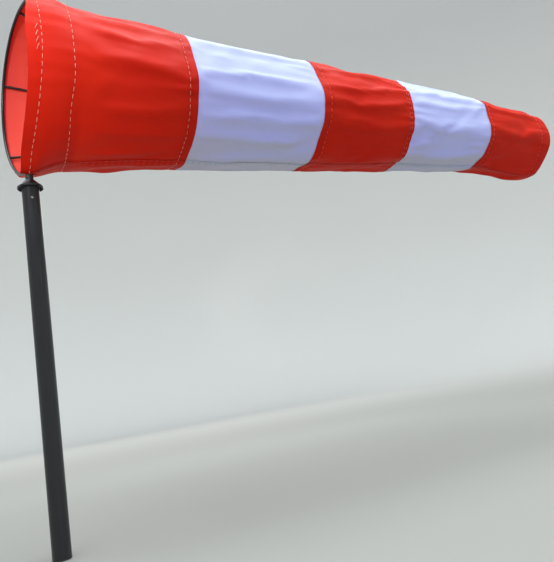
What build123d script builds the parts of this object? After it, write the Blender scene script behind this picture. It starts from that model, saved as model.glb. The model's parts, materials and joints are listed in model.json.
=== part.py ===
"""Windsock with its pole: a striped fabric cone on a swivelling ring basket, above a bearing head and a mast.

Frame: +Z up, origin at the centre of the pole's foot, +X the way the sock streams. Sizes are in millimetres.
"""

from build123d import *
import os
from math import cos, radians, sin, tan

os.makedirs("parts", exist_ok=True)

# ---------------------------------------------------------------- driving dimensions
# mast
TUBE_R = 21.2
TUBE_BORE_R = 18.6
TUBE_TOP = 886.0
FOOT_DISC = 4.0
FOOT_PLUG_DEPTH = 22.0
FOOT_EDGE_R = 2.5
PLUG_WALL = 3.0
SNUG = 0.05  # radial play of a piece that slides into the tube

# bearing housing and its two ball bearings
FLANGE_T = 4.0
HOUSING_BOTTOM = 820.0
HOUSING_BORE_R = 13.0
BEARING_OD_R = 16.0
BEARING_BORE_R = 7.5
BEARING_W = 9.0
PITCH_R = 11.75
BALL_R = 2.38
BALL_COUNT = 9
BEARING_PLAY = 0.05
UPPER_BEARING_Z = 879.0
LOWER_BEARING_Z = 822.0
HOUSING_SCREW_R = 3.0
HOUSING_SCREW_Z = 855.0
HOUSING_SCREW_COUNT = 3
HOUSING_SCREW_START = 30.0  # degrees from +X
SCREW_HOLE_LENGTH = 10.0

# spindle and rain cap
SHANK_BOTTOM = 815.0
NECK_R = 10.0
CAP_BRIM_R = 31.0
CAP_TOP_R = 12.0
CAP_LIP_Z = 885.0
CAP_BRIM_Z = 889.0
CAP_TOP_Z = 907.0
CAP_UNDERSIDE_Z = 891.5

# basket: a front ring, a smaller rear ring and six rods, turned a little from the sock's line
SOCK_AXIS_Z = 1167.0
HEAD_TURN = 11.0  # degrees
RING_R = 225.0
RING_ROD_R = 4.0
RING_OFFSET = 8.8  # from the mast's axis to the ring's plane
REAR_RING_R = 190.0
REAR_RING_BACK = 130.0
REAR_ROD_R = 4.0
BASKET_ROD_R = 3.4
ROD_COUNT = 6

# sock
SOCK_LENGTH = 2000.0
BAND_COUNT = 5
MOUTH_X = -50.0
MOUTH_R = 238.0
THROAT_R = 195.0
TAIL_R = 122.0
FABRIC_T = 1.2
LAYER_T = 0.8
HEM_WIDTH = 112.0
TAIL_HEM_WIDTH = 60.0
NEAR_EDGE_X = -8.0
FAR_EDGE_SLOPE = 0.14
SPINDLE_SLOT_HALF = 12.0
SPINDLE_SLOT_X = 20.0
MOUTH_OVERCUT = 10.0

# folds: the stiff lengths of sock turn down about these stations
FOLD_X = (270.0, 600.0, 1000.0, 1400.0)
FOLD_ANGLE = 14.5
FOLD_GAP = 1.0
FOLD_EASE = 0.5  # degrees that each length gives up beyond half the fold
FOLD_OVERCUT = 20.0

BAND = SOCK_LENGTH / BAND_COUNT
REACH = 300.0  # half size of the cutting bodies, wider than the sock

ring_normal = Vector(cos(radians(HEAD_TURN)), sin(radians(HEAD_TURN)), 0)
ring_across = Vector(-sin(radians(HEAD_TURN)), cos(radians(HEAD_TURN)), 0)
ring_centre = Vector(0, 0, SOCK_AXIS_Z) + ring_normal * RING_OFFSET
ring_plane = Plane(origin=ring_centre, x_dir=ring_across, z_dir=ring_normal)
rear_plane = ring_plane.offset(REAR_RING_BACK)
sock_axis = Axis((0, 0, SOCK_AXIS_Z), (1, 0, 0))


def finish(part, label):
    """Name a finished piece and write it."""
    part.label = label
    export_step(part, f"parts/{label}.step")


# ---------------------------------------------------------------- mast
with BuildPart() as pole_tube:
    with BuildSketch(Plane.XY.offset(FOOT_DISC)):
        Circle(TUBE_R)
        Circle(TUBE_BORE_R, mode=Mode.SUBTRACT)
    extrude(amount=TUBE_TOP - FOOT_DISC)
    with Locations((0, 0, HOUSING_SCREW_Z)):
        with PolarLocations(0, HOUSING_SCREW_COUNT, start_angle=HOUSING_SCREW_START):
            with Locations(Location((TUBE_BORE_R, 0, 0), (0, 90, 0))):
                Cylinder(HOUSING_SCREW_R, SCREW_HOLE_LENGTH, mode=Mode.SUBTRACT)
finish(pole_tube.part, "pole_tube")

with BuildPart() as foot_plug:
    with BuildSketch():
        Circle(TUBE_R)
    extrude(amount=FOOT_DISC)
    fillet(foot_plug.edges().group_by(Axis.Z)[0], radius=FOOT_EDGE_R)
    with BuildSketch(Plane.XY.offset(FOOT_DISC)):
        Circle(TUBE_BORE_R - SNUG)
        Circle(TUBE_BORE_R - PLUG_WALL, mode=Mode.SUBTRACT)
    extrude(amount=FOOT_PLUG_DEPTH)
    chamfer(foot_plug.edges().group_by(Axis.Z)[-1].sort_by(SortBy.LENGTH)[-1], length=1)
finish(foot_plug.part, "foot_plug")

with BuildPart() as bearing_housing:
    with BuildSketch(Plane.XY.offset(HOUSING_BOTTOM)):
        Circle(TUBE_BORE_R - SNUG)
    extrude(amount=TUBE_TOP - HOUSING_BOTTOM)
    with BuildSketch(Plane.XY.offset(TUBE_TOP)):
        Circle(TUBE_R)
    extrude(amount=FLANGE_T)
    with BuildSketch(Plane.XY.offset(HOUSING_BOTTOM)):
        Circle(HOUSING_BORE_R)
    extrude(amount=TUBE_TOP + FLANGE_T - HOUSING_BOTTOM, mode=Mode.SUBTRACT)
    with BuildSketch(Plane.XY.offset(HOUSING_BOTTOM)):
        Circle(BEARING_OD_R)
    extrude(amount=LOWER_BEARING_Z + BEARING_W - HOUSING_BOTTOM, mode=Mode.SUBTRACT)
    with BuildSketch(Plane.XY.offset(UPPER_BEARING_Z)):
        Circle(BEARING_OD_R)
    extrude(amount=TUBE_TOP + FLANGE_T - UPPER_BEARING_Z, mode=Mode.SUBTRACT)
    with Locations((0, 0, HOUSING_SCREW_Z)):
        with PolarLocations(0, HOUSING_SCREW_COUNT, start_angle=HOUSING_SCREW_START):
            with Locations(Location((HOUSING_BORE_R + 3, 0, 0), (0, 90, 0))):
                Cylinder(HOUSING_SCREW_R, SCREW_HOLE_LENGTH, mode=Mode.SUBTRACT)
finish(bearing_housing.part, "bearing_housing")

SCREW_IN = HOUSING_BORE_R + 0.8
SCREW_OUT = TUBE_R - 0.3
THREAD_PLAY = 0.02
SOCKET_R = 1.5
SOCKET_DEPTH = 2.6
with BuildPart() as housing_screws:
    with Locations((0, 0, HOUSING_SCREW_Z)):
        with PolarLocations(0, HOUSING_SCREW_COUNT, start_angle=HOUSING_SCREW_START):
            with Locations(Location(((SCREW_IN + SCREW_OUT) / 2, 0, 0), (0, 90, 0))):
                Cylinder(HOUSING_SCREW_R - THREAD_PLAY, SCREW_OUT - SCREW_IN)
            with Locations(Location((SCREW_OUT - SOCKET_DEPTH / 2, 0, 0), (0, 90, 0))):
                Cylinder(SOCKET_R, SOCKET_DEPTH, mode=Mode.SUBTRACT)
finish(housing_screws.part, "housing_screws")

# ---------------------------------------------------------------- ball bearings
SHOULDER = 1.65  # from the pitch circle to each ring's shoulder
SHOULDER_OUT = PITCH_R + SHOULDER
SHOULDER_IN = PITCH_R - SHOULDER
RACE_EDGE = 0.3
CAGE_HEIGHT = 6.0
CAGE_HALF_WALL = 0.7
CAGE_POCKET_LENGTH = 4.0
SEAL_T = 0.4
SEAL_INSET = 0.4
SEAL_FIT = 0.02
SEAL_LIP_GAP = 0.1


def bearing(side, base):
    """One sealed deep-groove bearing, its lower face at base: two rings, balls, cage and two seals."""
    mid = base + BEARING_W / 2
    races = (("outer", SHOULDER_OUT, BEARING_OD_R), ("inner", BEARING_BORE_R, SHOULDER_IN))
    for name, inner, outer in races:
        with BuildPart() as race:
            with BuildSketch(Plane.XY.offset(base)):
                Circle(outer)
                Circle(inner, mode=Mode.SUBTRACT)
            extrude(amount=BEARING_W)
            chamfer(race.edges().filter_by(GeomType.CIRCLE), length=RACE_EDGE)
            with Locations((0, 0, mid)):
                Torus(PITCH_R, BALL_R + BEARING_PLAY, mode=Mode.SUBTRACT)
        finish(race.part, f"{side}_bearing_{name}")
    with BuildPart() as balls:
        with Locations((0, 0, mid)):
            with PolarLocations(PITCH_R, BALL_COUNT):
                Sphere(BALL_R)
    finish(balls.part, f"{side}_bearing_balls")
    with BuildPart() as cage:
        with BuildSketch(Plane.XY.offset(mid - CAGE_HEIGHT / 2)):
            Circle(PITCH_R + CAGE_HALF_WALL)
            Circle(PITCH_R - CAGE_HALF_WALL, mode=Mode.SUBTRACT)
        extrude(amount=CAGE_HEIGHT)
        with Locations((0, 0, mid)):
            with PolarLocations(PITCH_R, BALL_COUNT):
                Cylinder(
                    BALL_R + BEARING_PLAY, CAGE_POCKET_LENGTH, rotation=(0, 90, 0), mode=Mode.SUBTRACT
                )
    finish(cage.part, f"{side}_bearing_cage")
    with BuildPart() as seals:
        for level in (base + SEAL_INSET, base + BEARING_W - SEAL_INSET - SEAL_T):
            with BuildSketch(Plane.XY.offset(level)):
                Circle(SHOULDER_OUT - SEAL_FIT)
                Circle(SHOULDER_IN + SEAL_LIP_GAP, mode=Mode.SUBTRACT)
            extrude(amount=SEAL_T)
    finish(seals.part, f"{side}_bearing_seals")


bearing("upper", UPPER_BEARING_Z)
bearing("lower", LOWER_BEARING_Z)

SPACER_WALL = 2.3
with BuildPart() as inner_spacer:
    with BuildSketch(Plane.XY.offset(LOWER_BEARING_Z + BEARING_W)):
        Circle(BEARING_BORE_R + SPACER_WALL)
        Circle(BEARING_BORE_R, mode=Mode.SUBTRACT)
    extrude(amount=UPPER_BEARING_Z - LOWER_BEARING_Z - BEARING_W)
finish(inner_spacer.part, "inner_spacer")

# ---------------------------------------------------------------- spindle, retaining ring and rain cap
CLIP_T = 1.1
CLIP_GROOVE_R = 7.15
CLIP_OUTER_R = 9.7
CLIP_MOUTH = (6.0, 5.0)
SHANK_FIT = 0.01
SHANK_EDGE = 0.8
COLLAR_Z = UPPER_BEARING_Z + BEARING_W
RING_BOTTOM = SOCK_AXIS_Z - RING_R - RING_ROD_R
GUSSET_T = 5.0
GUSSET_HALF = 9.5
GUSSET_DEPTH = 16.0
GUSSET_CORNER_R = 6.0
GUSSET_BOTTOM = RING_BOTTOM - GUSSET_DEPTH
SPINDLE_TOP = RING_BOTTOM + 2 * RING_ROD_R
FLAT_CUT = 40.0  # size of the blocks that mill the spindle's flats
RING_FLAT_GAP = 0.05
RING_FLAT_DROP = 0.3

with BuildPart() as spindle:
    with BuildSketch(Plane.XY.offset(SHANK_BOTTOM)):
        Circle(BEARING_BORE_R - SHANK_FIT)
    extrude(amount=COLLAR_Z - SHANK_BOTTOM)
    chamfer(spindle.edges().group_by(Axis.Z)[0], length=SHANK_EDGE)
    with BuildSketch(Plane.XY.offset(COLLAR_Z)):
        Circle(NECK_R)
    extrude(amount=SPINDLE_TOP - COLLAR_Z)
    # groove of the retaining ring
    with BuildSketch(Plane.XY.offset(LOWER_BEARING_Z - CLIP_T)):
        Circle(BEARING_BORE_R + 1)
        Circle(CLIP_GROOVE_R, mode=Mode.SUBTRACT)
    extrude(amount=CLIP_T, mode=Mode.SUBTRACT)
    # flats for the gusset plate and, above it, for the ring's rod
    with BuildSketch(ring_plane.offset(-GUSSET_T / 2)):
        with Locations((0, GUSSET_BOTTOM - SOCK_AXIS_Z + FLAT_CUT / 2)):
            Rectangle(FLAT_CUT, FLAT_CUT)
    extrude(amount=FLAT_CUT, mode=Mode.SUBTRACT)
    with BuildSketch(ring_plane.offset(-RING_ROD_R - RING_FLAT_GAP)):
        with Locations((0, RING_BOTTOM - SOCK_AXIS_Z - RING_FLAT_DROP + FLAT_CUT / 2)):
            Rectangle(FLAT_CUT, FLAT_CUT)
    extrude(amount=FLAT_CUT, mode=Mode.SUBTRACT)
finish(spindle.part, "spindle")

with BuildPart() as spindle_clip:
    with BuildSketch(Plane.XY.offset(LOWER_BEARING_Z - CLIP_T)):
        Circle(CLIP_OUTER_R)
        Circle(CLIP_GROOVE_R, mode=Mode.SUBTRACT)
        with Locations((CLIP_OUTER_R, 0)):
            Rectangle(*CLIP_MOUTH, mode=Mode.SUBTRACT)
    extrude(amount=CLIP_T)
finish(spindle_clip.part, "spindle_clip")

CAP_WALL = 2.5
CAP_CORNER = 2.0
GRUB_Z = 897.0
GRUB_LENGTH = 8.0
GRUB_R = 2.5
GRUB_SOCKET_R = 1.4
GRUB_SOCKET_DEPTH = 2.5
with BuildPart() as rain_cap:
    with BuildSketch(Plane.XZ):
        with BuildLine():
            Polyline(
                (NECK_R, CAP_UNDERSIDE_Z),
                (NECK_R, CAP_TOP_Z),
                (CAP_TOP_R, CAP_TOP_Z),
                (CAP_BRIM_R, CAP_BRIM_Z),
                (CAP_BRIM_R, CAP_LIP_Z),
                (CAP_BRIM_R - CAP_WALL, CAP_LIP_Z),
                (CAP_BRIM_R - CAP_WALL, CAP_UNDERSIDE_Z - CAP_CORNER),
                (CAP_BRIM_R - CAP_WALL - CAP_CORNER, CAP_UNDERSIDE_Z),
                close=True,
            )
        make_face()
    revolve(axis=Axis.Z)
    with BuildSketch(Plane(origin=(0, NECK_R / 2, GRUB_Z), x_dir=(1, 0, 0), z_dir=(0, 1, 0))):
        Circle(GRUB_R)
    extrude(amount=CAP_BRIM_R, mode=Mode.SUBTRACT)
finish(rain_cap.part, "rain_cap")

with BuildPart() as cap_grub_screw:
    with BuildSketch(Plane(origin=(0, NECK_R, GRUB_Z), x_dir=(1, 0, 0), z_dir=(0, 1, 0))):
        Circle(GRUB_R - THREAD_PLAY)
    extrude(amount=GRUB_LENGTH)
    with BuildSketch(Plane(origin=(0, NECK_R + GRUB_LENGTH, GRUB_Z), x_dir=(1, 0, 0), z_dir=(0, -1, 0))):
        RegularPolygon(GRUB_SOCKET_R, 6)
    extrude(amount=GRUB_SOCKET_DEPTH, mode=Mode.SUBTRACT)
finish(cap_grub_screw.part, "cap_grub_screw")

# ---------------------------------------------------------------- ring basket
def section_plane(centre, radius):
    """The level plane of a ring's rod where it passes the ring's far side."""
    return Plane(origin=centre + ring_across * radius, x_dir=ring_across, z_dir=(0, 0, 1))


with BuildPart() as front_ring:
    with BuildSketch(section_plane(ring_centre, RING_R)):
        Circle(RING_ROD_R)
    revolve(axis=Axis(ring_centre, ring_normal))
finish(front_ring.part, "front_ring")

with BuildPart() as rear_ring:
    with BuildSketch(section_plane(rear_plane.origin, REAR_RING_R)):
        Circle(REAR_ROD_R)
    revolve(axis=Axis(rear_plane.origin, ring_normal))
finish(rear_ring.part, "rear_ring")


def ring_point(angle, radius, back):
    """A point on a circle about the basket's axis, at a depth behind the front ring's plane."""
    flat = ring_across * cos(radians(angle)) + Vector(0, 0, 1) * sin(radians(angle))
    return ring_centre + ring_normal * back + flat * radius


rod_angles = [90 + 360 / ROD_COUNT * k for k in range(ROD_COUNT)]
for number, angle in enumerate(rod_angles, start=1):
    start = ring_point(angle, RING_R, 0)
    end = ring_point(angle, REAR_RING_R, REAR_RING_BACK)
    with BuildPart() as rod:
        with BuildSketch(Plane(origin=start, z_dir=end - start)):
            Circle(BASKET_ROD_R)
        extrude(amount=(end - start).length)
        # both ends are cut to saddle on the rings
        add(front_ring.part, mode=Mode.SUBTRACT)
        add(rear_ring.part, mode=Mode.SUBTRACT)
    finish(rod.part, f"basket_rod_{number}")

with BuildPart() as ring_gusset:
    with BuildSketch(ring_plane.offset(-GUSSET_T / 2)):
        Circle(RING_R + RING_ROD_R + GUSSET_DEPTH)
        Circle(RING_R + RING_ROD_R, mode=Mode.SUBTRACT)
        with Locations((0, -RING_R - GUSSET_DEPTH)):
            Rectangle(2 * GUSSET_HALF, 2 * GUSSET_DEPTH, mode=Mode.INTERSECT)
    extrude(amount=GUSSET_T)
    lower_edges = ring_gusset.edges().filter_by(Axis(ring_centre, ring_normal)).group_by(Axis.Z)[0]
    fillet(lower_edges, radius=GUSSET_CORNER_R)
finish(ring_gusset.part, "ring_gusset")


# ---------------------------------------------------------------- sock
def sock_radius(x):
    """Outer radius of the fabric: a wider throat over the basket, then a straight taper."""
    if x < BAND:
        return MOUTH_R + (THROAT_R - MOUTH_R) * (x - MOUTH_X) / (BAND - MOUTH_X)
    return THROAT_R + (TAIL_R - THROAT_R) * (x - BAND) / (SOCK_LENGTH - BAND)


def fabric_tube(x_start, x_end, depth, thickness):
    """A length of sock whose outer face lies a given depth inside the sock's surface."""
    outer = [(x, SOCK_AXIS_Z + sock_radius(x) - depth) for x in (x_start, x_end)]
    inner = [(x, z - thickness) for x, z in reversed(outer)]
    with BuildPart() as tube:
        with BuildSketch(Plane(origin=(0, 0, 0), x_dir=(1, 0, 0), z_dir=(0, -1, 0))):
            with BuildLine():
                Polyline(*outer, *inner, close=True)
            make_face()
        revolve(axis=sock_axis)
    return tube.part


def fold_relief(x, side):
    """The wedge that a stiff length gives up below a fold; side is -1 ahead of the fold, +1 behind it."""
    run = REACH * tan(radians(FOLD_ANGLE / 2 + FOLD_EASE))
    with BuildPart() as relief:
        with BuildSketch(Plane(origin=(0, REACH, 0), x_dir=(1, 0, 0), z_dir=(0, -1, 0))):
            with BuildLine():
                Polyline(
                    (x, SOCK_AXIS_Z),
                    (x + side * run, SOCK_AXIS_Z - REACH),
                    (x - side * FOLD_OVERCUT, SOCK_AXIS_Z - REACH),
                    (x - side * FOLD_OVERCUT, SOCK_AXIS_Z),
                    close=True,
                )
            make_face()
        extrude(amount=2 * REACH)
    return relief.part


with BuildPart() as mouth_trim:
    # the mouth is cut square on the near side and runs forward to the ring on the far side
    with BuildSketch(Plane.XY.offset(SOCK_AXIS_Z - REACH)):
        with BuildLine():
            Polyline(
                (MOUTH_X - MOUTH_OVERCUT, -REACH),
                (NEAR_EDGE_X, -REACH),
                (NEAR_EDGE_X, 0),
                (NEAR_EDGE_X - REACH * FAR_EDGE_SLOPE, REACH),
                (MOUTH_X - MOUTH_OVERCUT, REACH),
                close=True,
            )
        make_face()
    extrude(amount=2 * REACH)
    # slot at the bottom for the spindle
    with BuildSketch(Plane.XY.offset(SOCK_AXIS_Z - REACH)):
        with Locations(((MOUTH_X + SPINDLE_SLOT_X) / 2, 0)):
            Rectangle(SPINDLE_SLOT_X - MOUTH_X, 2 * SPINDLE_SLOT_HALF)
    extrude(amount=REACH)


def fabric_length(label, x_start, x_end, depth=0.0, thickness=FABRIC_T):
    """One stiff length of fabric, trimmed where it meets a fold or the mouth."""
    starts_at_fold = x_start in FOLD_X
    ends_at_fold = x_end in FOLD_X
    first = x_start + (FOLD_GAP / 2 if starts_at_fold else 0)
    last = x_end - (FOLD_GAP / 2 if ends_at_fold else 0)
    with BuildPart() as length:
        add(fabric_tube(first, last, depth, thickness))
        if starts_at_fold:
            add(fold_relief(first, 1), mode=Mode.SUBTRACT)
        if ends_at_fold:
            add(fold_relief(last, -1), mode=Mode.SUBTRACT)
        if x_start == MOUTH_X:
            add(mouth_trim.part, mode=Mode.SUBTRACT)
    finish(length.part, label)


fabric_length("band_1_red_front", MOUTH_X, FOLD_X[0])
fabric_length("band_1_red_back", FOLD_X[0], BAND)
fabric_length("band_2_white_front", BAND, FOLD_X[1])
fabric_length("band_2_white_back", FOLD_X[1], 2 * BAND)
fabric_length("band_3_red_front", 2 * BAND, FOLD_X[2])
fabric_length("band_3_red_back", FOLD_X[2], 3 * BAND)
fabric_length("band_4_white_front", 3 * BAND, FOLD_X[3])
fabric_length("band_4_white_back", FOLD_X[3], 4 * BAND)
fabric_length("band_5_red", 4 * BAND, SOCK_LENGTH)
fabric_length("mouth_hem_band", MOUTH_X, NEAR_EDGE_X + HEM_WIDTH, FABRIC_T, LAYER_T)
fabric_length("tail_hem", SOCK_LENGTH - TAIL_HEM_WIDTH, SOCK_LENGTH, FABRIC_T, LAYER_T)

# tapes that tie the sock to the basket's rods, just behind the hem
TIE_BACK = 100.0
TIE_WIDTH = 12.0
TIE_T = 1.0
TIE_SLACK = 2.2
TIE_CLEARANCE = 1.0
TIE_LOOP_R = BASKET_ROD_R + TIE_T + TIE_SLACK
tie_rod_r = RING_R + (REAR_RING_R - RING_R) * TIE_BACK / REAR_RING_BACK
tie_inner_end = tie_rod_r - TIE_LOOP_R


def reach_to_fabric(angle):
    """How far from the basket's axis a tie may run before it meets the inside of the sock."""
    reach = tie_rod_r
    while True:
        tip = ring_point(angle, reach + TIE_CLEARANCE, TIE_BACK)
        from_axis = Vector(0, tip.Y, tip.Z - SOCK_AXIS_Z).length
        inside = sock_radius(tip.X + TIE_WIDTH / 2) - FABRIC_T - LAYER_T - TIE_CLEARANCE
        if from_axis > inside:
            return reach
        reach += 1


with BuildPart() as tie_tapes:
    with BuildSketch(ring_plane.offset(TIE_BACK - TIE_WIDTH / 2)):
        for angle in rod_angles:
            outer_end = reach_to_fabric(angle)
            length = outer_end - tie_inner_end
            with PolarLocations((outer_end + tie_inner_end) / 2, 1, start_angle=angle):
                SlotOverall(length, 2 * TIE_LOOP_R)
                SlotOverall(length - 2 * TIE_T, 2 * (TIE_LOOP_R - TIE_T), mode=Mode.SUBTRACT)
    extrude(amount=TIE_WIDTH)
finish(tie_tapes.part, "tie_tapes")
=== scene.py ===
"""Looks of the windsock with its pole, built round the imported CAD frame.

Metres, +Z up, +X the way the sock streams, -Y the near side. Angles about the sock's axis run from its top
towards the near side, so 90 degrees faces -Y and 180 degrees is the underside.
"""
import json
from math import cos, pi, radians, sin

import bpy
import numpy as np
from mathutils import Matrix, Vector


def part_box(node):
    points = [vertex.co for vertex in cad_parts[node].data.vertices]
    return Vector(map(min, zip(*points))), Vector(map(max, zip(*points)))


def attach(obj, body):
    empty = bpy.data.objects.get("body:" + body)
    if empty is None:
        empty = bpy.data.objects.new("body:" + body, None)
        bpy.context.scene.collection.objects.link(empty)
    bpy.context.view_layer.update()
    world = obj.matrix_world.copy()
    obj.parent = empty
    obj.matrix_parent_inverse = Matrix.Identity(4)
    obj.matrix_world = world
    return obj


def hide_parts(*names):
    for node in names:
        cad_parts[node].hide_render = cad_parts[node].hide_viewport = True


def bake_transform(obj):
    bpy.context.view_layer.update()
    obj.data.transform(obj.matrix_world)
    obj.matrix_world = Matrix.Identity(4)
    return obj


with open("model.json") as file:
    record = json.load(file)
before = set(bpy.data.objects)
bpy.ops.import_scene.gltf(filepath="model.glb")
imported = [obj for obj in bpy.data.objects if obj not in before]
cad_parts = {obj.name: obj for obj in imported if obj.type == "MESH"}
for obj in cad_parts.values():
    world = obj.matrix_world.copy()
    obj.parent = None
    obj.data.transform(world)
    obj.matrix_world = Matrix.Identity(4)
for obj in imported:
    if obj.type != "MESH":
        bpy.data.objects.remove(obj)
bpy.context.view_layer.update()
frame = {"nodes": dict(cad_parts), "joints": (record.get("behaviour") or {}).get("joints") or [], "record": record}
nodes = frame["nodes"]

# ------ places taken from the frame
ring_low, ring_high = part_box("front_ring")
RING_CENTRE = (ring_low + ring_high) / 2
SOCK_AXIS_Z = RING_CENTRE.z
RING_OUTER_R = (ring_high.z - ring_low.z) / 2
RING_HALF_WIDTH = (ring_high.y - ring_low.y) / 2
REAR_RING_X = (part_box("rear_ring")[0].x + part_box("rear_ring")[1].x) / 2
FOLD_X = [j["pos_m"][0] for j in frame["joints"] if j["name"].startswith("sock_fold")]
SOCK_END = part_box("band_5_red")[1].x
BAND = SOCK_END / 5
ROD_NAMES = [f"basket_rod_{k}" for k in range(1, 7)]


def main_axes(name):
    """The middle of a node's vertices, its principal directions, longest first, and the vertices."""
    points = np.array([v.co for v in nodes[name].data.vertices])
    centre = points.mean(0)
    return centre, np.linalg.svd(points - centre, full_matrices=False)[2], points


ring_normal = Vector(main_axes("front_ring")[1][2])
RING_TURN = ring_normal.y / ring_normal.x

# ------ camera
CAMERA_PLACE = (-0.158, -1.457, 0.303)
CAMERA_YAW = radians(29.39)
CAMERA_PITCH = radians(10.34)
CAMERA_ROLL = radians(-9.33)
CAMERA_LENS = 36.22


def add_camera():
    """The photo's camera: yaw from +Y towards +X, then pitch up, then roll."""
    data = bpy.data.cameras.new("camera")
    data.lens = CAMERA_LENS
    camera = bpy.data.objects.new("camera", data)
    bpy.context.scene.collection.objects.link(camera)
    level = cos(CAMERA_PITCH)
    forward = Vector((sin(CAMERA_YAW) * level, cos(CAMERA_YAW) * level, sin(CAMERA_PITCH)))
    side = Vector((cos(CAMERA_YAW), -sin(CAMERA_YAW), 0))
    above = side.cross(forward)
    right = side * cos(CAMERA_ROLL) + above * sin(CAMERA_ROLL)
    up = above * cos(CAMERA_ROLL) - side * sin(CAMERA_ROLL)
    turn = Matrix((right, up, -forward)).transposed().to_4x4()
    camera.matrix_world = Matrix.Translation(CAMERA_PLACE) @ turn
    bpy.context.scene.camera = camera


add_camera()


# ------ materials
def add_node(tree, kind, attributes=None, **inputs):
    """A shader node with its attributes and input values set; an input given a socket is linked to it."""
    node = tree.nodes.new(kind)
    for name, value in (attributes or {}).items():
        setattr(node, name, value)
    for name, value in inputs.items():
        plug(tree, node, name.replace("_", " "), value)
    return node


def plug(tree, node, name, value):
    """Set an input, given by its name or number, or link it if the value is a socket."""
    socket = node.inputs[int(name)] if name.isdigit() else node.inputs[name]
    if isinstance(value, bpy.types.NodeSocket):
        tree.links.new(value, socket)
    else:
        socket.default_value = value


def maths(tree, operation, a, b=0.0):
    return add_node(tree, "ShaderNodeMath", {"operation": operation}, **{"0": a, "1": b}).outputs[0]


def ramp(tree, value, low, high, low_out=0.0, high_out=1.0):
    """A smooth change from one output to another as a value goes from low to high."""
    node = add_node(tree, "ShaderNodeMapRange", {"interpolation_type": "SMOOTHSTEP"})
    plug(tree, node, "Value", value)
    for name, number in (("From Min", low), ("From Max", high), ("To Min", low_out), ("To Max", high_out)):
        plug(tree, node, name, number)
    return node.outputs["Result"]


def mix_colour(tree, share, a, b):
    """The share of colour b in colour a; each is a socket or three numbers."""
    node = add_node(tree, "ShaderNodeMix", {"data_type": "RGBA"})
    plug(tree, node, "0", share)
    plug(tree, node, "6", a if isinstance(a, bpy.types.NodeSocket) else (*a, 1))
    plug(tree, node, "7", b if isinstance(b, bpy.types.NodeSocket) else (*b, 1))
    return node.outputs[2]


def noise(tree, vector, scale, detail=4.0, roughness=0.55):
    node = add_node(tree, "ShaderNodeTexNoise", Vector=vector, Scale=scale, Detail=detail, Roughness=roughness)
    return node.outputs[0]


def stretched(tree, vector, scale):
    """Coordinates scaled along each axis."""
    return add_node(tree, "ShaderNodeMapping", Vector=vector, Scale=scale).outputs[0]


def bump(tree, height, strength, distance, normal=None):
    node = add_node(tree, "ShaderNodeBump", Height=height, Strength=strength, Distance=distance)
    if normal is not None:
        plug(tree, node, "Normal", normal)
    return node.outputs[0]


def new_material(name, **values):
    """A material with one Principled shader, with its uniform values set on the shader's own sockets."""
    material = bpy.data.materials.new(name)
    material.use_nodes = True
    tree = material.node_tree
    shader = tree.nodes["Principled BSDF"]
    for key, value in values.items():
        shader.inputs[key.replace("_", " ")].default_value = value
    return material, tree, shader


def link(tree, shader, colour, roughness, normal):
    """Link a shader's colour, normal and, unless it is None, roughness."""
    plug(tree, shader, "Base Color", colour)
    plug(tree, shader, "Normal", normal)
    if roughness is not None:
        plug(tree, shader, "Roughness", roughness)


def object_place(tree):
    return add_node(tree, "ShaderNodeTexCoord").outputs["Object"]


def ribs(tree, direction, scale):
    """Even lines across the cloth's own flat coordinates."""
    flat = cloth_place(tree)
    return add_node(tree, "ShaderNodeTexWave", {"bands_direction": direction}, Vector=flat, Scale=scale).outputs["Fac"]


def cloth_place(tree):
    return add_node(tree, "ShaderNodeUVMap", {"uv_map": "cloth"}).outputs[0]


WEAVE_PITCH = 0.0009


def fabric(name, colour, faded, through, share, dirt):
    """Coated nylon: plain weave, soft creases, faded patches and a little dirt, and light shows through it."""
    material, tree, shader = new_material(name, Sheen_Weight=0.02, Sheen_Roughness=0.5)
    shader.inputs["Specular IOR Level"].default_value = 0.10
    place = object_place(tree)
    weave_scale = 2 * pi / WEAVE_PITCH / 20
    weave = maths(tree, "MULTIPLY", ribs(tree, "X", weave_scale), ribs(tree, "Y", weave_scale))
    slub = noise(tree, stretched(tree, cloth_place(tree), (900, 60, 1)), 1.0, 2)
    creases = noise(tree, stretched(tree, place, (9, 14, 14)), 1.0, 5, 0.5)
    patches = noise(tree, place, 3.2, 3)
    faded_share = ramp(tree, patches, 0.42, 0.68, 0.0, 0.55)
    cloth = mix_colour(tree, faded_share, colour, faded)
    cloth = mix_colour(tree, ramp(tree, slub, 0.35, 0.75, 0.0, 0.10), cloth, dirt)
    specks = ramp(tree, noise(tree, place, 120.0, 2), 0.72, 0.80, 0.0, 0.35)
    cloth = mix_colour(tree, specks, cloth, dirt)
    soft = bump(tree, creases, 0.35, 0.004)
    fine = bump(tree, weave, 0.25, 0.0002, soft)
    colouring = mix_colour(tree, maths(tree, "MULTIPLY", weave, 0.12), cloth, dirt)
    link(tree, shader, colouring, ramp(tree, creases, 0.3, 0.7, 0.50, 0.68), fine)
    glow_colour = mix_colour(tree, faded_share, through, [0.5 * (a + b) for a, b in zip(through, faded)])
    glow = add_node(tree, "ShaderNodeBsdfTranslucent", Color=glow_colour, Normal=soft).outputs[0]
    both = tree.nodes.new("ShaderNodeMixShader")
    both.inputs[0].default_value = share
    tree.links.new(shader.outputs[0], both.inputs[1])
    tree.links.new(glow, both.inputs[2])
    tree.links.new(both.outputs[0], tree.nodes["Material Output"].inputs[0])
    return material


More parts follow.
